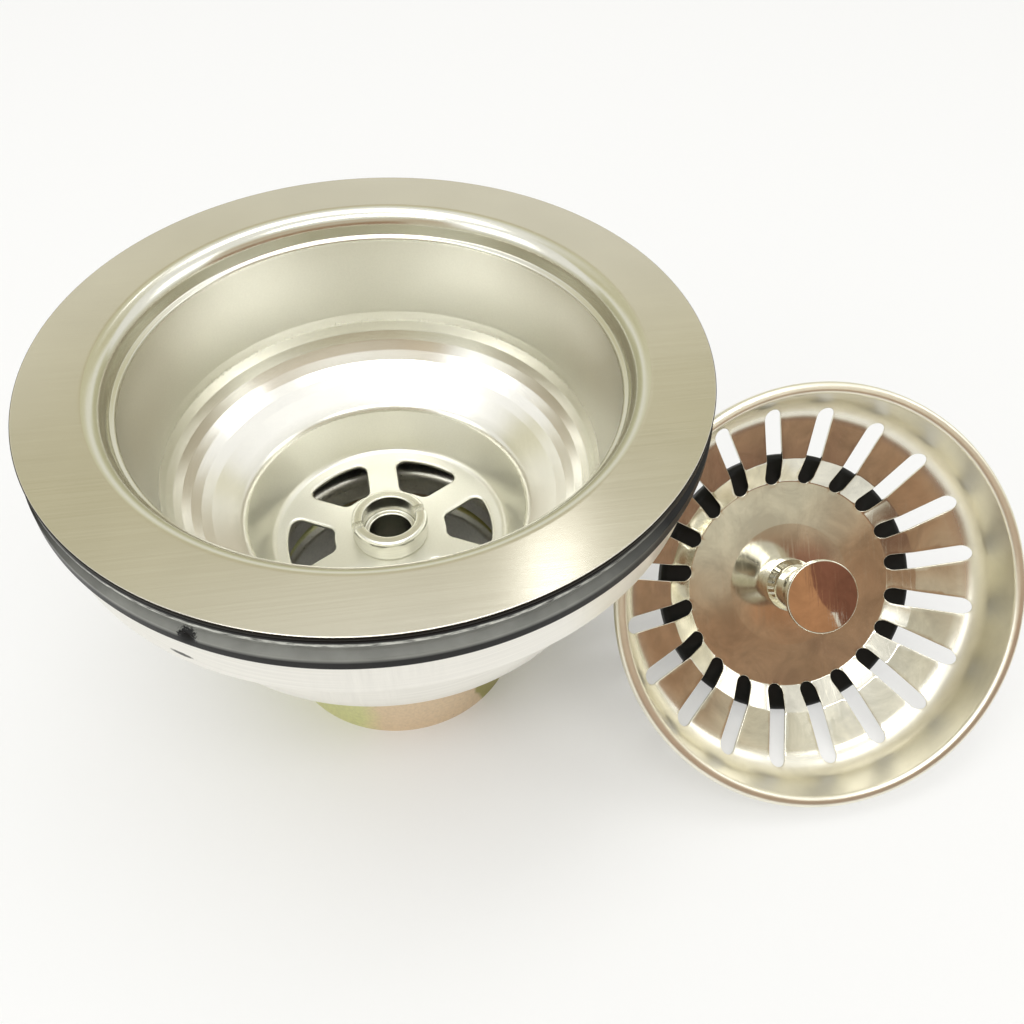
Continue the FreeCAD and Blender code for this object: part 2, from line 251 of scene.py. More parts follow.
def spin_pierced(corners, thickness, count, hole, holes, first, start, zone, roll,
                 fine=7.5, longest=1.6, edge=0.0):
    """A spun sheet with a ring of like holes, their upper edges rolled over.

    hole(d) is the outline of one hole grown by d, seen from above; the holes are set round from the angle
    first, and start is the angle at which one hole's share of the circle begins, counted from its own zero.
    zone is the band of radii that holds them, roll their edges' radius, and edge that of the sheet's rim.
    """
    clear = 0.3
    front = eased(bent(corners, fine), longest)
    normals = left_normals(front)
    outer = max(i for i, p in enumerate(front) if p.x >= zone[1])
    inner = min(i for i, p in enumerate(front) if p.x <= zone[0])
    band = front[outer:inner + 1]
    band_normals = normals[outer:inner + 1]

    def place(x, y, drop):
        r = math.hypot(x, y)
        k = 0
        while k < len(band) - 2 and band[k + 1].x > r:
            k += 1
        span = band[k].x - band[k + 1].x
        t = min(1.0, max(0.0, (band[k].x - r) / span))
        n = band_normals[k].lerp(band_normals[k + 1], t).normalized()
        z = band[k].y + (band[k + 1].y - band[k].y) * t
        out = r + n.x * drop
        return (x / r * out, y / r * out, z + n.y * drop)

    step = math.tau / holes
    grown = hole(roll)
    reach = hole(roll + clear)

    def in_hole(x, y, loop):
        a = (math.atan2(y, x) - first - start) % step + start
        r = math.hypot(x, y)
        return inside(loop, r * math.cos(a), r * math.sin(a))

    flat, edges = [], []
    for k, p in enumerate(band):
        edge_row = k in (0, len(band) - 1)
        row = []
        for i in range(count):
            a = math.tau * i / count
            x, y = p.x * math.cos(a), p.x * math.sin(a)
            if edge_row or not in_hole(x, y, reach):
                row.append(len(flat))
                flat.append(Vector((x, y)))
        if edge_row:
            edges += zip(row, row[1:] + row[:1])
    turns = [Matrix.Rotation(first + m * step, 2) for m in range(holes)]
    for turn in turns:
        row = []
        for q in grown:
            row.append(len(flat))
            flat.append(turn @ Vector(q))
        edges += zip(row, row[1:] + row[:1])
    points, _, triangles, _, _, _ = delaunay_2d_cdt(flat, edges, [], 0, TINY)
    low = band[-1].x * math.cos(math.pi / count) - TINY
    verts = [place(p.x, p.y, 0.0) for p in points] + [place(p.x, p.y, thickness) for p in points]
    faces = []
    for tri in triangles:
        c = sum((points[i] for i in tri), Vector((0.0, 0.0))) / 3.0
        if c.length < low or in_hole(c.x, c.y, grown):
            continue
        faces.append(tuple(tri))
        faces.append(tuple(i + len(points) for i in reversed(tri)))

    quarter = [math.radians(15.0 * k) for k in range(7)]
    drops = [(roll * (1.0 - math.sin(a)), roll * (1.0 - math.cos(a))) for a in quarter]
    drops += [(0.0, thickness), (roll, thickness)]
    for turn in turns:
        rows = []
        for d, drop in drops:
            rows.append(len(verts))
            for q in hole(d):
                p = turn @ Vector(q)
                verts.append(place(p.x, p.y, drop))
        faces += ring_faces(rows, len(grown))

    skin = list(zip(front, normals))
    for part, cap in ((skin[:outer + 1], True), (skin[inner:], False)):
        outline = [p for p, _ in part]
        back = [p + n * thickness for p, n in part]
        if cap:
            out = (outline[0] - outline[1]).normalized()
            n = part[0][1]
            lower = [back[0] + (out * math.sin(a) - n * (1.0 - math.cos(a))) * edge for a in quarter[1:]]
            upper = [outline[0] + (out * math.cos(a) + n * (1.0 - math.sin(a))) * edge for a in quarter[1:-1]]
            outline = back[:1] + (lower + upper if edge > 0.0 else []) + outline
        else:
            outline = outline + back[-1:]
        for line in (outline, back):
            ring_verts, quads = spin(line, count, closed=False)
            base = len(verts)
            verts += ring_verts
            faces += [tuple(i + base for i in q) for q in quads]
    return verts, faces


def piece(name, made, skin, node, pose=None):
    """A smooth-shaded piece from points and faces in millimetres, which rides on the row's one body."""
    weld, sliver, crease = 2e-8, 1e-8, math.radians(32.0)
    verts, faces = made
    mesh = bpy.data.meshes.new(name)
    mesh.from_pydata([tuple(c * MM for c in v) for v in verts], [], faces)
    work = bmesh.new()
    work.from_mesh(mesh)
    bmesh.ops.remove_doubles(work, verts=work.verts, dist=weld)
    bmesh.ops.dissolve_degenerate(work, edges=work.edges, dist=sliver)
    bmesh.ops.recalc_face_normals(work, faces=work.faces)
    work.to_mesh(mesh)
    work.free()
    if pose is not None:
        mesh.transform(pose)
    mesh.polygons.foreach_set("use_smooth", [True] * len(mesh.polygons))
    mesh.set_sharp_from_angle(angle=crease)
    mesh.materials.append(skin)
    made_object = bpy.data.objects.new(name, mesh)
    bpy.context.scene.collection.objects.link(made_object)
    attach(made_object, "root")
    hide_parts(node)
    return made_object


def basket_pose():
    """The basket's own axes in the row's frame: it leans on its knee and on the stopper's edge."""
    middle, turn, lean = Vector((79.989, -29.2, 34.624)) * MM, math.radians(270.0), math.radians(47.223)
    turned = Matrix.Rotation(turn, 4, "Z") @ Matrix.Rotation(lean, 4, "Y")
    return Matrix.Translation(middle) @ turned


# Finishes

# What most of a noise's values lie between. Noises are fed a place, scale, detail and roughness, ranges a
# value and the ends of both ranges.
NOISE_SPAN = (0.3, 0.7)
STEEL = {"Metallic": 1.0}
RUBBER = {"Specular IOR Level": 0.22}


def feed(tree, node, sockets):
    """Sets a node's inputs, by name or in their order; a socket, or a node's first output, is linked."""
    if isinstance(sockets, dict):
        pairs = [(node.inputs[key], value) for key, value in sockets.items()]
    else:
        pairs = list(zip([socket for socket in node.inputs if socket.enabled], sockets))
    for socket, value in pairs:
        if isinstance(value, bpy.types.Node):
            value = next(out for out in value.outputs if out.enabled)
        if isinstance(value, bpy.types.NodeSocket):
            tree.links.new(value, socket)
        else:
            socket.default_value = value


def put(tree, kind, sockets=(), stops=(), **settings):
    """Adds a node: sockets feed its inputs, stops are a ramp's colours or greys, settings its own values."""
    node = tree.nodes.new("ShaderNode" + kind)
    for key, value in settings.items():
        setattr(node, key, value)
    feed(tree, node, sockets)
    if stops:
        ramp = node.color_ramp
        while len(ramp.elements) < len(stops):
            ramp.elements.new(0.5)
        for element, (at, shade) in zip(ramp.elements, stops):
            element.position = at
            element.color = (shade, shade, shade, 1.0) if isinstance(shade, float) else shade
    return node


def fresh(name, pose=None):
    """A new material, its tree, its shader and its place in millimetres, on the axes of pose if given."""
    material = bpy.data.materials.new(name)
    material.use_nodes = True
    tree = material.node_tree
    tree.nodes.clear()
    shader = put(tree, "BsdfPrincipled")
    put(tree, "OutputMaterial", {"Surface": shader})
    at = put(tree, "TexCoord").outputs["Object"]
    if pose is not None:
        at = put(tree, "Mapping", {
            "Vector": at, "Location": pose.translation, "Rotation": pose.to_euler()}, vector_type="TEXTURE")
    at = put(tree, "Mapping", {"Vector": at, "Scale": (1.0 / MM,) * 3})
    return material, tree, shader, at


def dress(tree, shader, base, tones, mark, rough, bump, others):
    """Gives a shader its base colour, toned by noises, and a mark that roughens it and stands out of it.

    A tone is a noise and what it multiplies the colour by, least and most. rough is the mark's share and the
    least roughness, bump a strength and a height in millimetres.
    """
    for noise, least, most in tones:
        shade = put(tree, "MapRange", (noise, *NOISE_SPAN, least, most))
        base = put(tree, "Mix", (1.0, base, shade), data_type="RGBA", blend_type="MULTIPLY")
    feed(tree, shader, {"Base Color": base, **others})
    feed(tree, shader, {"Roughness": put(tree, "Math", (mark, *rough), operation="MULTIPLY_ADD")})
    if bump is not None:
        strength, height = bump
        raised = put(tree, "Bump", {"Strength": strength, "Distance": height * MM, "Height": mark})
        feed(tree, shader, {"Normal": raised})


def radius_of(tree, at):
    """Distance from the Z axis in millimetres, and the parts of the place."""
    split = put(tree, "SeparateXYZ", (at,)).outputs
    flat = put(tree, "CombineXYZ", (split["X"], split["Y"], 0.0))
    return put(tree, "VectorMath", (flat,), operation="LENGTH"), split


def unrolled(tree, split, radius):
    """A round wall laid flat: millimetres round the axis, and height."""
    turn = put(tree, "Math", (split["Y"], split["X"]), operation="ARCTAN2")
    along = put(tree, "Math", (turn, radius), operation="MULTIPLY")
    return put(tree, "CombineXYZ", (along, split["Z"], 0.0))


def brushed_steel(tree, shader, at):
    """304 stainless, belt-brushed in straight lines: its highlights are pulled out across the lines."""
    # Belt lines about 0.25 mm apart, and a slow drift of tone over about 20 mm.
    lines_at = put(tree, "Mapping", {
        "Vector": at, "Rotation": (0.0, 0.0, math.radians(8.0)), "Scale": (0.04, 3.8, 0.4)})
    lines = put(tree, "TexNoise", (lines_at, 1.0, 4.0, 0.65))
    cloud = put(tree, "TexNoise", (at, 0.05, 2.0))
    tones = ((lines, 0.975, 1.02), (cloud, 0.96, 1.03))
    across = put(tree, "CombineXYZ", (0.14, 0.99, 0.0))
    dress(tree, shader, tint("flange"), tones, lines, (0.12, 0.12), (0.08, 0.03), {
        "Anisotropic": 0.6, "Tangent": across, **STEEL})


def drawn_steel(tree, shader, at):
    """304 stainless as the press leaves it: a frosty satin on the wall, tighter where the sheet was bent."""
    # Frost grain about 0.3 mm, and a slow drift of tone over about 20 mm.
    grain = put(tree, "TexNoise", (at, 3.0, 3.0, 0.6))
    cloud = put(tree, "TexNoise", (at, 0.05, 2.0))
    tones = ((grain, 0.97, 1.02), (cloud, 0.97, 1.02))
    # Upwards from below the plate to the flange: soft in the well, tight on the seat and the foot bend, soft
    # on the wall, tight at the mouth.
    well_z, flange_z = 34.0, 79.0
    split = put(tree, "SeparateXYZ", (at,)).outputs
    level = put(tree, "MapRange", (split["Z"], well_z, flange_z))
    soft = put(tree, "ValToRGB", (level,), (
        (0.18, 0.28), (0.22, 0.19), (0.42, 0.19), (0.56, 0.3), (0.87, 0.3), (0.9, 0.16)))
    # The seat is painted paler than the wall: a painted highlight for the overhead light it catches.
    ring = put(tree, "ValToRGB", (level,), ((0.2, 0.0), (0.24, 1.0), (0.36, 1.0), (0.44, 0.0)))
    steel = put(tree, "Mix", (ring, tint("cup"), tint("seat")), data_type="RGBA")
    dress(tree, shader, steel, tones, grain, (0.05, soft), (0.1, 0.03), STEEL)


def polished_steel(tree, shader, at, roughness):
    """Buffed 304 stainless: a near mirror with hairline wipe marks, satin on the outer wall."""
    # Hairlines about 0.1 mm wide and several millimetres long, in two slanting directions.
    hairs = []
    for angle, stretch in ((25.0, 0.09), (-48.0, 0.13)):
        turned = put(tree, "Mapping", {
            "Vector": at, "Rotation": (0.0, 0.0, math.radians(angle)), "Scale": (stretch, 3.5, stretch)})
        hair = put(tree, "TexNoise", (turned, 1.0, 3.0))
        hairs.append(put(tree, "MapRange", (hair, 0.6, 0.72)))
    marks = put(tree, "Math", hairs, operation="MAXIMUM")
    # Finger marks in patches about 8 mm across, with ragged edges.
    cloud = put(tree, "TexNoise", {
        "Vector": at, "Scale": 0.12, "Detail": 6.0, "Roughness": 0.62, "Distortion": 0.6})
    shade = put(tree, "MapRange", (cloud, 0.36, 0.64, 0.82, 1.1))
    # From the knee out to the wall the steel goes satin and the wipe marks end; there it is also painted
    # paler, a painted reflection of the bright room.
    wall_r, wall_painted_light, wall_rough = 37.0, 1.26, 0.36
    radius, _ = radius_of(tree, at)
    outer = put(tree, "MapRange", (radius, 31.0, wall_r, 0.0, 0.65))
    both = put(tree, "Mix", (outer, shade, wall_painted_light), data_type="FLOAT")
    satin = put(tree, "MapRange", (radius, 32.0, wall_r, roughness, wall_rough))
    middle = put(tree, "MapRange", (radius, 28.0, 34.0, 1.0, 0.0))
    wiped = put(tree, "Math", (marks, middle), operation="MULTIPLY")
    skin = put(tree, "Mix", (1.0, tint("polished"), both), data_type="RGBA", blend_type="MULTIPLY")
    dress(tree, shader, skin, (), wiped, (0.08, satin), (0.03, 0.02), STEEL)


def turned_steel(tree, shader, at):
    """Lathe-turned bright steel: fine rings round the axis that catch the light as hairlines."""
    # Tool rings about 0.2 mm apart, on faces by radius and on walls by height.
    radius, split = radius_of(tree, at)
    along = put(tree, "CombineXYZ", (radius, split["Z"], 0.0))
    rings = put(tree, "TexNoise", (along, 5.0, 2.0))
    dress(tree, shader, tint("cup"), ((rings, 0.9, 1.05),), rings, (0.1, 0.16), (0.1, 0.03), STEEL)


def satin_shell(tree, shader, at):
    """Pressed pale plate with a satin skin: level lines, patches of upright draw marks, one dark scrape."""
    split = put(tree, "SeparateXYZ", (at,)).outputs
    rolled = unrolled(tree, split, sizes("waste_sizes").flange_r - SHELL_INSET)
    # Draw marks about 1 mm wide and as tall as the rim, level lines about 0.4 mm apart, patches 30 mm wide.
    layers = []
    for size in ((0.9, 0.07, 1.0), (0.03, 2.5, 1.0), (0.035, 0.02, 1.0)):
        stretched = put(tree, "Mapping", {"Vector": rolled, "Scale": size})
        layers.append(put(tree, "TexNoise", (stretched, 1.0, 4.0, 0.65)))
    upright, level, patches = layers
    where = put(tree, "MapRange", (patches, 0.5, 0.62))
    marks = put(tree, "Mix", (where, level, upright), data_type="FLOAT")
    shade = put(tree, "MapRange", (marks, 0.32, 0.68, 0.92, 1.02))
    # The scrape is 5 mm long, on the rim at the viewer's left.
    spot = put(tree, "VectorMath", (rolled, (-120.7, 64.9, 0.0)), operation="SUBTRACT")
    shrunk = put(tree, "VectorMath", (spot, (0.4, 2.2, 1.0)), operation="MULTIPLY")
    far = put(tree, "VectorMath", (shrunk,), operation="LENGTH")
    torn = put(tree, "Math", (far, upright), operation="ADD")
    scrape = put(tree, "MapRange", (torn, 1.1, 1.5, 0.12, 1.0))
    both = put(tree, "Math", (shade, scrape), operation="MULTIPLY")
    skin = put(tree, "Mix", (1.0, tint("shell"), both), data_type="RGBA", blend_type="MULTIPLY")
    dress(tree, shader, skin, (), marks, (0.15, 0.27), (0.08, 0.05), {"Metallic": 0.9})


def yellow_zinc(tree, shader, at):
    """Zinc-plated steel with a yellow passivation film: green-gold on the tube's left, pink, and a darker
    olive on its right flank.
    """
    # The colour goes from left to right across the tube, darker olive on the right flank, broken up by clouds
    # about 12 mm across; bore and flare stay grey.
    tube = sizes("waste_sizes").tail_r
    radius, split = radius_of(tree, at)
    cloud = put(tree, "TexNoise", {"Vector": at, "Scale": 0.08, "Detail": 2.0, "Distortion": 0.4})
    across = put(tree, "MapRange", (split["X"], -25.0, 25.0))
    drift = put(tree, "Math", (cloud, 0.2, across), operation="MULTIPLY_ADD")
    outside = put(tree, "ValToRGB", (drift,), (
        (0.37, tint("zinc_yellow")), (0.44, tint("zinc_pink")), (0.88, tint("zinc_pink")),
        (0.9, tint("zinc_olive"))))
    skinned = put(tree, "MapRange", (radius, tube - 0.5, tube - 0.2))
    lower = put(tree, "MapRange", (split["Z"], 22.0, 23.0, 1.0, 0.0))
    shown = put(tree, "Math", (skinned, lower), operation="MULTIPLY")
    film = put(tree, "Mix", (shown, tint("zinc_bore"), outside), data_type="RGBA")
    # Specks about 0.7 mm.
    speck = put(tree, "TexNoise", (at, 1.5, 3.0))
    dress(tree, shader, film, ((speck, 0.92, 1.05),), speck, (0.12, 0.24), (0.08, 0.03), {"Metallic": 0.95})


def plain_zinc(tree, shader, at):
    """Dull zinc-plated steel for the bridge and washers: grey with a fine frosted grain."""
    # Frost grain about 0.4 mm.
    grain = put(tree, "TexNoise", (at, 2.5, 3.0))
    dress(tree, shader, tint("plain_zinc"), ((grain, 0.88, 1.06),), grain, (0.15, 0.32), (0.1, 0.04), STEEL)


def rubber_marks(tree, at):
    """Patches about 6 mm across and a skin grain about 0.3 mm."""
    cloud = put(tree, "TexNoise", (at, 0.16, 4.0))
    grain = put(tree, "TexNoise", (at, 3.5, 2.0))
    return cloud, grain


def moulded_rubber(tree, shader, at):
    """Black nitrile rubber from a polished mould: nearly black, with a soft grey sheen."""
    cloud, grain = rubber_marks(tree, at)
    dress(tree, shader, tint("rubber"), ((cloud, 0.75, 1.25),), grain, (0.2, 0.36), (0.15, 0.04), RUBBER)


def lit_side_share(tree, at, radius):
    """One round the front of the waste, falling to nothing towards its sides; it places the painted sheen and
    highlights on the rubber.
    """
    turn = math.radians(-100.0)
    front = (math.cos(turn), math.sin(turn), 0.0)
    along = put(tree, "VectorMath", (at, front), operation="DOT_PRODUCT")
    facing = put(tree, "Math", (along, radius), operation="DIVIDE")
    return put(tree, "MapRange", (facing, 0.56, 0.85))


def dust_and_sheen_rubber(tree, shader, at):
    """Black nitrile rubber, pale grey on its upper face round the front, black below, with a torn nick: the
    grey is dust bloom and a painted sheen.
    """
    cloud, grain = rubber_marks(tree, at)
    radius, split = radius_of(tree, at)
    # Above this height and round the front the rubber is painted pale grey, dust bloom and a painted sheen;
    # round the nick the grey is left out, so the tear shows black as painted shade.
    sheen_from_z = gasket_base() + 1.7
    above = put(tree, "MapRange", (split["Z"], sheen_from_z, sheen_from_z + 0.7))
    away = put(tree, "VectorMath", (at, gasket_nick()), operation="DISTANCE")
    torn = put(tree, "Math", (grain, -1.6, away), operation="MULTIPLY_ADD")
    whole = put(tree, "MapRange", (torn, 0.5, 0.9))
    clean = put(tree, "Math", (above, whole), operation="MULTIPLY")
    share = put(tree, "Math", (clean, lit_side_share(tree, at, radius)), operation="MULTIPLY")
    pale = put(tree, "Mix", (share, tint("rubber"), tint("bloom")), data_type="RGBA")
    dress(tree, shader, pale, ((cloud, 0.8, 1.15),), grain, (0.2, 0.3), (0.15, 0.04), RUBBER)


def scuff_and_highlight_rubber(tree, shader, at):
    """Black nitrile washer whose cut edge is pale round the front in short slanting strokes: scuffs and a
    painted highlight.
    """
    waste = sizes("waste_sizes")
    rim = waste.flange_r
    top = waste.height - waste.cup_sheet
    radius, split = radius_of(tree, at)
    # Strokes about 0.5 mm wide that lean over the edge, with gaps: scuffs and a painted highlight.
    slant = put(tree, "Mapping", {
        "Vector": unrolled(tree, split, rim), "Rotation": (0.0, 0.0, math.radians(35.0)),
        "Scale": (0.5, 2.4, 1.0)})
    stroke = put(tree, "TexNoise", (slant, 1.0, 3.0, 0.6))
    wear_and_highlight = put(tree, "MapRange", (stroke, 0.32, 0.6))
    edge = put(tree, "MapRange", (radius, rim - 0.5, rim - 0.2))
    lower = put(tree, "MapRange", (split["Z"], top - 0.85, top - 0.6, 1.0, 0.0))
    wear_and_highlight_edge = put(tree, "Math", (wear_and_highlight, edge), operation="MULTIPLY")
    band = put(tree, "Math", (lower, lit_side_share(tree, at, radius)), operation="MULTIPLY")
    share = put(tree, "Math", (wear_and_highlight_edge, band), operation="MULTIPLY")
    skin = put(tree, "Mix", (share, tint("rubber"), tint("scuffed")), data_type="RGBA")
    dress(tree, shader, skin, (), stroke, (0.2, 0.35), (0.2, 0.05), RUBBER)


def shaded_edge_steel(tree, shader, at):
    """Stainless on the flange's outer edge, painted dark grey as painted shade, uneven in tone."""
    # Tone patches about 0.2 mm across.
    score = put(tree, "TexNoise", (at, 5.0, 2.0))
    dress(tree, shader, tint("sheared"), ((score, 0.7, 1.3),), score, (0.2, 0.4), None, STEEL)


def gasket_base():
    """Height of the gasket's underside, in millimetres."""
    waste = sizes("waste_sizes")
    return waste.height - (waste.cup_sheet + waste.seal_thick + waste.gasket_thick)


def gasket_nick():
    """Middle of the small torn nick in the gasket on the viewer's left."""
    turn = math.radians(-120.0)
    out = sizes("waste_sizes").flange_r + GASKET_REACH
    return Vector((out * math.cos(turn), out * math.sin(turn), gasket_base() + 2.3))


FINISHES = {
    "flange": ("belt_brushed_stainless", brushed_steel),
    "cup": ("deep_drawn_stainless", drawn_steel),
    "basket": ("buffed_stainless_dish", lambda *parts: polished_steel(*parts, 0.11)),
    "knob": ("buffed_stainless_knob", lambda *parts: polished_steel(*parts, 0.025)),
    "bolt": ("turned_bright_steel", turned_steel),
    "shell": ("pressed_satin_plate", satin_shell),
    "tail": ("yellow_passivated_zinc", yellow_zinc),
    "zinc": ("dull_zinc_plate", plain_zinc),
    "rubber": ("moulded_nitrile_rubber", moulded_rubber),
    "gasket": ("bloomed_nitrile_rubber", dust_and_sheen_rubber),
    "seal": ("scuffed_nitrile_rubber", scuff_and_highlight_rubber),
    "edge": ("sheared_stainless_edge", shaded_edge_steel),
}


def finish(name):
    """A finish by its short name, made once; the basket's are on the basket's own axes."""
    title, make = FINISHES[name]
    material = bpy.data.materials.get(title)
    if material is None:
        material, tree, shader, at = fresh(title, basket_pose() if name in ("basket", "knob") else None)
        make(tree, shader, at)
    return material


def cover(kinds):
    """Gives CAD nodes their finishes."""
    for node, kind in kinds.items():
        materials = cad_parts[node].data.materials
        materials.clear()
        materials.append(finish(kind))


# Pieces


class WASTE_OT_strainer_cup(bpy.types.Operator):
    """Pressed flange and cup with the six-hole plate in its floor"""

    bl_idname = "waste.strainer_cup"
    bl_label = "Strainer cup"

    def execute(self, context):
        waste = sizes("waste_sizes")
        ledge_step, wall_step, seat_step, well_step = 1.65, 3.4, 12.2, 4.0
        lip_step, lip_drop, ledge_drop, bore_r = 0.8, 4.5, 4.8, 6.2
        edge, hole_inset, corner, roll = 0.3, 2.8, 1.8, 0.6
        around, holes, first_hole = 288, 6, math.radians(31.5)
        top, rim = waste.height, waste.flange_r
        mouth = rim - waste.flange_width
        ledge = mouth - ledge_step
        foot = ledge - wall_step
        seat = foot - seat_step
        plate = seat - well_step
        plate_z = top - waste.well_depth
        corners = [
            (rim - edge, top), (mouth, top, 3.4), (mouth - lip_step, top - lip_drop, 0.3),
            (ledge, top - ledge_drop, 0.5), (foot, top - waste.wall_depth, 16.0),
            (seat, top - waste.seat_depth, 3.0), (plate, plate_z, 1.4), (bore_r, plate_z)]
        hub = waste.hub_r
        outer = plate - hole_inset
        half = waste.spoke_width / 2.0
        axis = Vector((0.0, 0.0))

        def hole(d):
            near = Vector((math.sqrt((hub + corner) ** 2 - (half + corner) ** 2), half + corner))
            far = Vector((math.sqrt((outer - corner) ** 2 - (half + corner) ** 2), half + corner))
            near_a = math.atan2(near.y, near.x)
            far_a = math.atan2(far.y, far.x)
            middle = math.pi / holes
            side = math.pi * 1.5
            loop = arc(axis, hub - d, middle, near_a, steps=6)[:-1]
            loop += arc(near, corner + d, near_a + math.pi, side, steps=8)
            loop += arc(far, corner + d, side, math.tau + far_a, steps=8)
            loop += arc(axis, outer + d, far_a, middle, steps=10)[1:]
            across = Matrix.Rotation(math.tau / holes, 2)
            mirrored = [across @ Vector((p.x, -p.y)) for p in reversed(loop[1:-1])]
            return [(p.x, p.y) for p in loop + mirrored]

        zone = (7.0, plate - 1.7)
        made = spin_pierced(corners, waste.cup_sheet, around, hole, holes, first_hole, 0.0, zone, roll,
                            edge=edge)
        pressing = piece("cup_pressing", made, finish("cup"), "strainer_cup")
        pressing.data.materials.append(finish("flange"))
        pressing.data.materials.append(finish("edge"))
        # The flat top beyond the mouth takes the brushed finish; the outer edge below the top is painted dark
        # grey, painted shade.
        brushed_from, shaded_from, shaded_facing = mouth + 2.4, rim - 0.35, 0.9
        for face in pressing.data.polygons:
            out = face.center.to_2d().length / MM
            if out > brushed_from:
                face.material_index = 1
            if out > shaded_from and face.normal.z < shaded_facing:
                face.material_index = 2
        return {"FINISHED"}


class WASTE_OT_rubber_rings(bpy.types.Operator):
    """Flat seal under the flange and the thick gasket below it"""

    bl_idname = "waste.rubber_rings"
    bl_label = "Rubber rings"

    def execute(self, context):
        waste = sizes("waste_sizes")
        rim, bore_gap, seal_inset = waste.flange_r, 2.2, 0.1
        inner = rim - waste.flange_width + waste.cup_sheet + bore_gap
        under = waste.height - waste.cup_sheet
        mid = under - waste.seal_thick
        low = mid - waste.gasket_thick
        outer = rim - seal_inset
        seal = [(inner, mid), (outer, mid, 0.4), (outer, under, 0.4), (inner, under, 0.4), (inner, mid)]
        made = spin(eased(bent(seal))[:-1], count=288)
        piece("flange_seal_ring", made, finish("seal"), "flange_seal")
        out = rim + GASKET_REACH
        neck_step, lip, shoulder = 1.1, 2.8, 3.45
        neck = out - neck_step
        block = [
            (inner, low), (out, low, 0.6), (out, low + lip, 0.25), (neck, low + shoulder, 0.3),
            (neck, mid, 0.4), (inner, mid, 0.6), (inner, low)]
        verts, faces = spin(eased(bent(block), longest=0.5)[:-1], count=576)
        nick, nick_reach, nick_depth, nick_width = gasket_nick(), 2.0, 0.6, 0.8
        dented = []
        for v in verts:
            p = Vector(v)
            gap = (p - nick).length
            if gap < nick_reach:
                radial = Vector((p.x, p.y, 0.0)).normalized()
                ripple = math.sin(p.z * 5.0 + p.x * 3.0)
                p -= radial * nick_depth * math.exp(-(gap / nick_width) ** 2) * (1.0 + 0.5 * ripple)
            dented.append(tuple(p))
        piece("sink_gasket_ring", (dented, faces), finish("gasket"), "sink_gasket")
        return {"FINISHED"}


class WASTE_OT_lock_shell(bpy.types.Operator):
    """Outer shell with its folded rim"""

    bl_idname = "waste.lock_shell"
    bl_label = "Lock shell"

    def execute(self, context):
        waste = sizes("waste_sizes")
        rim = waste.flange_r - SHELL_INSET
        top = gasket_base()
        wall_gap, skirt, taper, knee_drop, floor_r = 1.0, 8.2, 1.6, 29.9, 30.4
        wall = waste.flange_r - waste.flange_width + wall_gap
        floor = top - waste.shell_depth
        corners = [
            (rim, top - skirt), (rim, top, 1.6), (wall, top, 1.6), (wall - taper, top - knee_drop, 9.0),
            (floor_r, floor, 3.0), (waste.tail_r, floor)]
        made = spin_sheet(corners, waste.shell_sheet, count=288)
        piece("lock_shell_pressing", made, finish("shell"), "lock_shell")
        return {"FINISHED"}


class WASTE_OT_tail(bpy.types.Operator):
    """Gold outlet tube with its flare and bead, and the rubber ring under the flare"""

    bl_idname = "waste.tail"
    bl_label = "Tail"

    def execute(self, context):
        waste = sizes("waste_sizes")
        sheet, tube = waste.tail_sheet, waste.tail_r
        ring_thick, bead_out, bead_half, bead_bend, flare_out = 3.0, 2.0, 2.3, 1.8, 3.3
        bore = tube - sheet
        floor = gasket_base() - waste.shell_depth
        flare = floor + ring_thick + sheet
        bead = floor - waste.shell_sheet - bead_bend * math.tan(math.atan2(bead_out, bead_half) / 2.0)
        corners = [
            (tube + flare_out, flare), (bore, flare, 2.5), (bore, bead, bead_bend),
            (bore + bead_out, bead - bead_half, 1.0), (bore, bead - 2.0 * bead_half, bead_bend), (bore, 0.0)]
        made = spin_sheet(corners, sheet, count=240)
        piece("tail_tube", made, finish("tail"), "tail_spigot")
        inner, outer, top = tube + 1.1, tube + 3.1, floor + ring_thick
        ring = [(inner, floor), (outer, floor, 0.15), (outer, top, 0.15), (inner, top), (inner, floor)]
        made = spin(eased(bent(ring))[:-1], count=192)
        piece("tail_fibre_ring", made, finish("rubber"), "tail_seal")
        return {"FINISHED"}


class WASTE_OT_fasteners(bpy.types.Operator):
    """Finishes of the hollow bolt, its washer and the bridge in the tail"""

    bl_idname = "waste.fasteners"
    bl_label = "Bolt, washer and bridge"

    def execute(self, context):
        cover({"centre_bolt": "bolt", "bolt_washer": "zinc", "bolt_bridge": "zinc"})
        return {"FINISHED"}


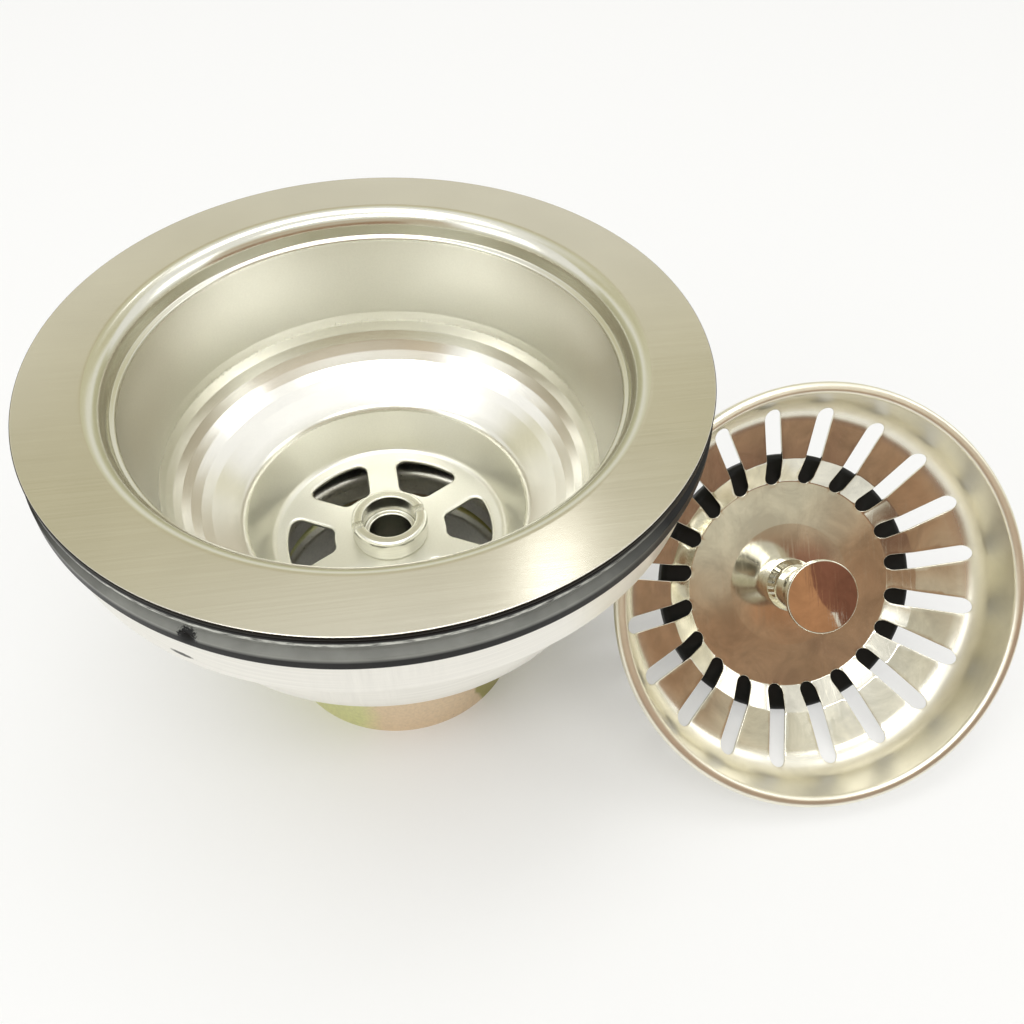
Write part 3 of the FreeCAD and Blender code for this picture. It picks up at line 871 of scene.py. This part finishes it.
class WASTE_OT_basket_dish(bpy.types.Operator):
    """Slotted dish of the basket with its rolled rim"""

    bl_idname = "waste.basket_dish"
    bl_label = "Basket dish"

    def execute(self, context):
        basket = sizes("basket_sizes")
        first_slot, roll, around, zone = math.radians(5.2), 0.12, 320, (20.4, 36.9)
        lip, rim_width, knee_inset, crease_r, dimple_r, bore_r, rise = 2.0, 2.2, 3.4, 26.0, 12.6, 3.2, 0.3
        rim = basket.rim_r
        deep = -basket.plate_depth
        dimple = deep + rise
        corners = [
            (rim, -lip), (rim, 0.0, 0.95), (rim - rim_width, 0.0, 0.95),
            (rim - knee_inset, -basket.wall_depth, 6.0), (crease_r, -basket.crease_depth, 1.0),
            (basket.plate_r, deep, 0.5), (dimple_r, dimple, 1.0), (bore_r, dimple)]
        half = basket.slot_width / 2.0
        near = basket.slot_inner_r + half
        far = basket.slot_outer_r - half

        def slot(d):
            r = half + d
            steps, fan = 24, 12
            loop = []
            for start, end, side, turn in ((near, far, -r, -90.0), (far, near, r, 90.0)):
                loop += [(start + (end - start) * i / steps, side) for i in range(steps)]
                turns = [math.radians(turn + 180.0 * i / fan) for i in range(fan)]
                loop += [(end + r * math.cos(a), r * math.sin(a)) for a in turns]
            return loop

        slots = basket.slot_count
        made = spin_pierced(corners, basket.sheet, around, slot, slots, first_slot, -math.pi / slots,
                            zone, roll, fine=6.0, longest=1.0)
        piece("basket_dish_pressing", made, finish("basket"), "basket_dish", basket_pose())
        return {"FINISHED"}


class WASTE_OT_basket_knob(bpy.types.Operator):
    """Waisted knob with a flat top"""

    bl_idname = "waste.basket_knob"
    bl_label = "Basket knob"

    def execute(self, context):
        basket = sizes("basket_sizes")
        r, foot, top = basket.knob_r, -basket.plate_depth, -1.85
        bore_r, bore_top = 3.0, foot + 8.0
        corners = [
            (bore_r, foot), (5.4, foot, 0.25), (5.4, foot + 1.6, 0.5), (4.3, foot + 3.6, 2.5),
            (4.15, foot + 7.4, 6.0), (r - 0.5, top - 2.4, 2.2), (r, top - 1.0, 0.6), (r, top, 0.25),
            (0.0, top)]
        line = eased(bent(corners, fine=5.0), longest=0.6)
        bore = [Vector((0.0, bore_top)), Vector((bore_r, bore_top))]
        made = spin(line + bore, count=160)
        piece("basket_knob_turning", made, finish("knob"), "basket_knob", basket_pose())
        return {"FINISHED"}


class WASTE_OT_basket_stopper(bpy.types.Operator):
    """Rubber stopper, its washer, the stem and the gripping ring under the dish"""

    bl_idname = "waste.basket_stopper"
    bl_label = "Stopper and stem"

    def execute(self, context):
        basket = sizes("basket_sizes")
        inner, thick, edge = 3.0, 3.6, basket.stopper_r
        under = -basket.plate_depth - basket.sheet
        low = under - thick
        disc = [(inner, low), (edge, low, 0.8), (edge, under, 1.4), (inner, under), (inner, low)]
        made = spin(eased(bent(disc))[:-1], count=240)
        piece("stopper_rubber_disc", made, finish("rubber"), "stopper_disc", basket_pose())
        cover({"stopper_washer": "zinc", "basket_post": "bolt", "post_ring": "rubber"})
        return {"FINISHED"}


# Stage


def seen_rays(tree):
    """1 for camera, glossy and transmission rays, which look at the background, 0 for the others."""
    ray = put(tree, "LightPath").outputs
    seen = ray["Is Camera Ray"]
    for kind in ("Is Glossy Ray", "Is Transmission Ray"):
        seen = put(tree, "Math", (seen, ray[kind]), operation="MAXIMUM")
    return seen


def lay_floor(scene):
    """Pale paper that keeps the shadow."""
    floor_mesh = bpy.data.meshes.new("floor")
    half = 3.0
    corners = [(-half, -half, 0.0), (half, -half, 0.0), (half, half, 0.0), (-half, half, 0.0)]
    floor_mesh.from_pydata(corners, [], [(0, 1, 2, 3)])
    floor = bpy.data.objects.new("floor", floor_mesh)
    scene.collection.objects.link(floor)
    paper, tree, shader, at = fresh("matt_white_paper")
    # Paper fibre about 0.5 mm, too faint to see but for a slight tooth.
    fibre = put(tree, "TexNoise", (at, 2.0, 2.0))
    shade = put(tree, "MapRange", (fibre, 0.0, 1.0, 0.985, 1.0))
    skin = put(tree, "Mix", (1.0, linear("#F8F8F6"), shade), data_type="RGBA", blend_type="MULTIPLY")
    feed(tree, shader, {"Base Color": skin, "Roughness": 0.9})
    # Away from the tail about half of what is seen of the floor is plain white, so that it stays pale and
    # keeps a light shadow.
    plain = put(tree, "Emission", {"Color": linear("#FDFDFC"), "Strength": 1.0})
    radius, _ = radius_of(tree, at)
    pale = put(tree, "MapRange", (radius, 26.0, 95.0, 0.02, 0.56))
    share = put(tree, "Math", (seen_rays(tree), pale), operation="MULTIPLY")
    both = put(tree, "MixShader", (share, shader, plain))
    feed(tree, tree.nodes["Material Output"], {"Surface": both})
    floor_mesh.materials.append(paper)


def light_room(scene):
    """A soft white room with its lamps."""
    world = bpy.data.worlds.new("soft_room")
    scene.world = world
    world.use_nodes = True
    tree = world.node_tree
    tree.nodes.clear()
    strength = put(tree, "MapRange", (seen_rays(tree), 0.0, 1.0, 0.66, 1.0))
    sky = put(tree, "Background", {"Color": linear("#FFFEFB"), "Strength": strength})
    put(tree, "OutputWorld", {"Surface": sky})
    aim = Vector((0.0, 0.0, 0.05))
    # Name, width and depth in metres, place, watts.
    for name, size, place, power in (
            ("ceiling_panel", (0.9, 0.3), (-0.05, 0.1, 1.0), 1.9),
            ("front_tube", (0.9, 0.14), (0.0, -0.47, 1.0), 2.2),
            ("left_panel", (0.5, 0.4), (-0.8, -0.3, 0.7), 1.1),
            ("right_panel", (0.5, 0.4), (0.9, -0.1, 0.7), 0.8),
            ("far_window", (0.09, 0.05), (0.24, 0.82, 1.21), 0.1)):
        lamp = bpy.data.lights.new(name, "AREA")
        lamp.shape = "RECTANGLE"
        lamp.size, lamp.size_y = size
        lamp.energy = power
        hung = bpy.data.objects.new(name, lamp)
        hung.location = place
        hung.rotation_euler = (aim - Vector(place)).to_track_quat("-Z", "Y").to_euler()
        scene.collection.objects.link(hung)


def reflection_card(name, verts, faces, stops, grain=0.01, blot=0.0, tall=1.0):
    """A card that only reflections see, shaded from its foot up to tall metres and blotted by a noise."""
    mesh = bpy.data.meshes.new(name)
    mesh.from_pydata(verts, [], faces)
    paint, tree, shader, at = fresh(name)
    noise = put(tree, "TexNoise", {"Vector": at, "Scale": grain, "Detail": 3.0, "Distortion": 0.4})
    place = put(tree, "SeparateXYZ", (at,)).outputs
    rise = put(tree, "Math", (place["Z"], tall / MM), operation="DIVIDE")
    wander = put(tree, "MapRange", (noise, *NOISE_SPAN, -blot, blot), clamp=False)
    level = put(tree, "Math", (rise, wander), operation="ADD")
    patch = put(tree, "ValToRGB", (level,), [(share, linear(hex_code)) for share, hex_code in stops])
    glow = put(tree, "Emission", {"Color": patch, "Strength": 1.0})
    feed(tree, tree.nodes["Material Output"], {"Surface": glow})
    tree.nodes.remove(shader)
    mesh.materials.append(paint)
    card = bpy.data.objects.new(name, mesh)
    bpy.context.scene.collection.objects.link(card)
    for ray in ("camera", "diffuse", "shadow", "transmission"):
        setattr(card, "visible_" + ray, False)


def stand_cards():
    """What the mirror surfaces reflect of the room."""
    # An olive wall on the far side, a low one on the near side, a beige board by the viewer, and a low brown
    # one close to the basket.
    waste_mid, basket_mid = (0.04, 0.0), (0.08, -0.028)
    columns, foot = 48, 0.001
    # Name, middle, distance and height in metres, bearings in degrees, noise scale and reach, shades upwards.
    for name, middle, away, tall, start, end, grain, blot, stops in (
            ("far_wall", waste_mid, 0.9, 1.55, -64.0, 50.0, 0.004, 0.05, (
                (0.0, "#AEAB8A"), (0.24, "#CFCBAC"), (0.32, "#F8F7EE"), (0.4, "#F6F4E9"), (0.48, "#DCD7BA"),
                (0.57, "#CCC6A2"), (0.72, "#E0DCC6"), (1.0, "#F2F0E6"))),
            ("near_wall", waste_mid, 0.9, 0.34, 50.0, 296.0, 0.004, 0.1, (
                (0.0, "#BEBA9E"), (1.0, "#F0EEE0"))),
            ("beige_board", waste_mid, 0.45, 0.6, 112.0, 228.0, 0.03, 0.1, (
                (0.0, "#D8D2C0"), (0.3, "#D2C9B4"), (0.48, "#CDC0A8"), (0.62, "#C4AE94"), (0.76, "#D6CFBC"),
                (0.86, "#EFEDE2"), (1.0, "#FBFAF6"))),
            ("brown_board", basket_mid, 0.2, 0.22, 112.0, 228.0, 0.05, 0.1, (
                (0.02, "#BDB39E"), (0.12, "#7A5C4C"), (0.27, "#8A6A58"), (0.39, "#A5876E"), (0.56, "#A07D62"),
                (0.68, "#B0967C"), (0.88, "#D4CDBB"), (1.0, "#DDD8C8")))):
        turns = [math.radians(start + (end - start) * i / columns) for i in range(columns + 1)]
        verts = []
        for a in turns:
            x, y = middle[0] + away * math.sin(a), middle[1] + away * math.cos(a)
            verts += [(x, y, foot), (x, y, tall)]
        faces = [(2 * i, 2 * i + 2, 2 * i + 3, 2 * i + 1) for i in range(columns)]
        reflection_card(name, verts, faces, stops, grain, blot, tall)
    # The knob's top reflects a warm card, crossed by a dark one and by a narrow light one. Corners are
    # bearing and rise in degrees.
    knob_top = Vector((0.08, -0.028, 0.033))
    for name, away, shade, corners in (
            ("warm_card", 0.19, "#BC8A66", ((156.7, 34.1), (146.7, 30.7), (151.1, 21.9), (160.5, 24.8))),
            ("dark_card", 0.186, "#875A49", (
                (153.5, 33.0), (154.4, 29.4), (154.2, 27.4), (153.2, 25.0), (153.3, 23.3), (150.6, 22.3),
                (146.5, 30.4))),
            ("light_card", 0.182, "#F2EEE6", ((153.5, 26.0), (153.0, 25.8), (153.1, 24.2), (153.5, 24.2)))):
        verts = []
        for side, rise in corners:
            a, e = math.radians(side), math.radians(rise)
            ahead = Vector((math.sin(a) * math.cos(e), math.cos(a) * math.cos(e), math.sin(e)))
            verts.append(knob_top + ahead * away)
        reflection_card(name, verts, [tuple(range(len(verts)))], ((0.0, shade), (1.0, shade)))


def aim_camera(scene):
    """The photograph's view; its focal length is in pixels of the frame."""
    focal, frame_width = 1025.0, 1024.0
    pan, tilt, roll = 0.1775, 0.8334, 0.0206
    eye = Vector((0.0, -135.8071, 188.1957)) * MM
    camera = bpy.data.cameras.new("camera")
    camera.sensor_width = 36.0
    camera.lens = camera.sensor_width * focal / frame_width
    camera.clip_start = 0.01
    ahead = Vector((math.sin(pan) * math.cos(tilt), math.cos(pan) * math.cos(tilt), -math.sin(tilt)))
    right = ahead.cross(Vector((0.0, 0.0, 1.0))).normalized()
    up = right.cross(ahead)
    across = right * math.cos(roll) + up * math.sin(roll)
    above = up * math.cos(roll) - right * math.sin(roll)
    axes = Matrix((across, above, -ahead)).transposed().to_4x4()
    camera_object = bpy.data.objects.new("camera", camera)
    camera_object.matrix_world = Matrix.Translation(eye) @ axes
    scene.collection.objects.link(camera_object)
    scene.camera = camera_object
    scene.view_settings.view_transform = "Standard"


class WASTE_OT_stage(bpy.types.Operator):
    """Pale floor, soft light, reflection cards and the camera"""

    bl_idname = "waste.stage"
    bl_label = "Stage"

    def execute(self, context):
        lay_floor(context.scene)
        light_room(context.scene)
        stand_cards()
        aim_camera(context.scene)
        return {"FINISHED"}


class WASTE_PT_panel(bpy.types.Panel):
    """Buttons and sizes of the waste"""

    bl_idname = "WASTE_PT_panel"
    bl_label = "Basket strainer waste"
    bl_space_type = "VIEW_3D"
    bl_region_type = "UI"
    bl_category = "Waste"

    def draw(self, context):
        for operator in OPERATORS:
            self.layout.operator(operator.bl_idname)
        for group, cls in GROUPS:
            box = self.layout.box()
            box.label(text=cls.__name__)
            for name in cls.__annotations__:
                box.prop(getattr(context.scene, group), name)


OPERATORS = (
    WASTE_OT_strainer_cup, WASTE_OT_rubber_rings, WASTE_OT_lock_shell, WASTE_OT_tail, WASTE_OT_fasteners,
    WASTE_OT_basket_dish, WASTE_OT_basket_knob, WASTE_OT_basket_stopper, WASTE_OT_stage)
GROUPS = (("waste_sizes", WasteSizes), ("basket_sizes", BasketSizes), ("waste_colours", WasteColours))


def register():
    for _, cls in GROUPS:
        bpy.utils.register_class(cls)
    for group, cls in GROUPS:
        setattr(bpy.types.Scene, group, bpy.props.PointerProperty(type=cls))
    for cls in OPERATORS + (WASTE_PT_panel,):
        bpy.utils.register_class(cls)


def unregister():
    for cls in reversed(OPERATORS + (WASTE_PT_panel,)):
        bpy.utils.unregister_class(cls)
    for group, cls in reversed(GROUPS):
        delattr(bpy.types.Scene, group)
        bpy.utils.unregister_class(cls)


def main():
    register()
    bpy.ops.waste.stage()
    bpy.ops.waste.strainer_cup()
    bpy.ops.waste.rubber_rings()
    bpy.ops.waste.lock_shell()
    bpy.ops.waste.tail()
    bpy.ops.waste.fasteners()
    bpy.ops.waste.basket_dish()
    bpy.ops.waste.basket_knob()
    bpy.ops.waste.basket_stopper()


if __name__ == "__main__":
    main()
